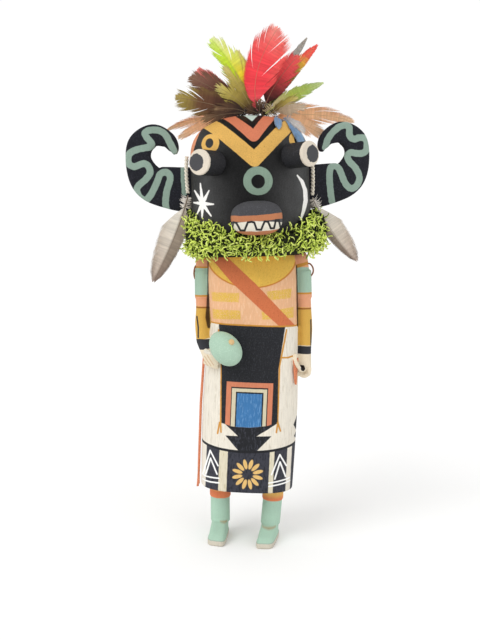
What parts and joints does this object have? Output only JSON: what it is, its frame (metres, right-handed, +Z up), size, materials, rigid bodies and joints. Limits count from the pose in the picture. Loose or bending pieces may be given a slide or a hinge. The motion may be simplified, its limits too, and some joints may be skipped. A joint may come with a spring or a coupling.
{
  "type": "kachina doll",
  "caption": "Carved and painted wooden figure with a horned mask, moss ruff, feather crest and gourd rattle, standing on its own feet.",
  "frame": {"origin": "under the middle of the doll's bounding box, on the ground that it stands on", "axes": "+Z up, -Y to the doll's front, +X to its left side, which is on a viewer's right"},
  "size_m": [0.135, 0.0874, 0.2846],
  "materials": {
    "peach": "matte mineral paint on carved root wood",
    "charcoal": "matte paint on wood",
    "bone": "matte paint on wood",
    "moss": "dried moss",
    "mint": "matte paint on wood",
    "string": "twisted cotton",
    "plume": "pale feather",
    "leather": "suede",
    "thong": "thin leather",
    "blue_feather": "feather",
    "brown_feather": "feather",
    "green_feather": "feather",
    "red_feather": "feather",
    "lime_feather": "feather",
    "olive_feather": "feather",
    "grey_feather": "feather",
    "tan_feather": "feather"
  },
  "bodies": {
    "root": {"figure": "peach", "snout": "charcoal", "right_eye": "bone", "left_eye": "bone", "right_horn": "charcoal", "left_horn": "charcoal", "moss_ruff": "moss", "rattle": "mint", "right_ear_string": "string", "left_ear_string": "string", "right_ear_feather": "plume", "left_ear_feather": "plume", "hip_strip": "leather", "sash_end": "leather", "right_armband_tie": "thong", "left_armband_tie": "thong", "crest_blue_long": "blue_feather", "crest_blue_short": "blue_feather", "crest_brown_low": "brown_feather", "crest_green": "green_feather", "crest_red_tall": "red_feather", "crest_brown_high": "brown_feather", "crest_lime": "lime_feather", "crest_red_short": "red_feather", "crest_gold": "lime_feather", "crest_olive_red_tip": "olive_feather", "crest_small_red": "red_feather", "crest_grey": "grey_feather", "crest_tan": "tan_feather", "crest_orange_right": "tan_feather", "crest_orange_left": "tan_feather"}
  },
  "joints": []
}
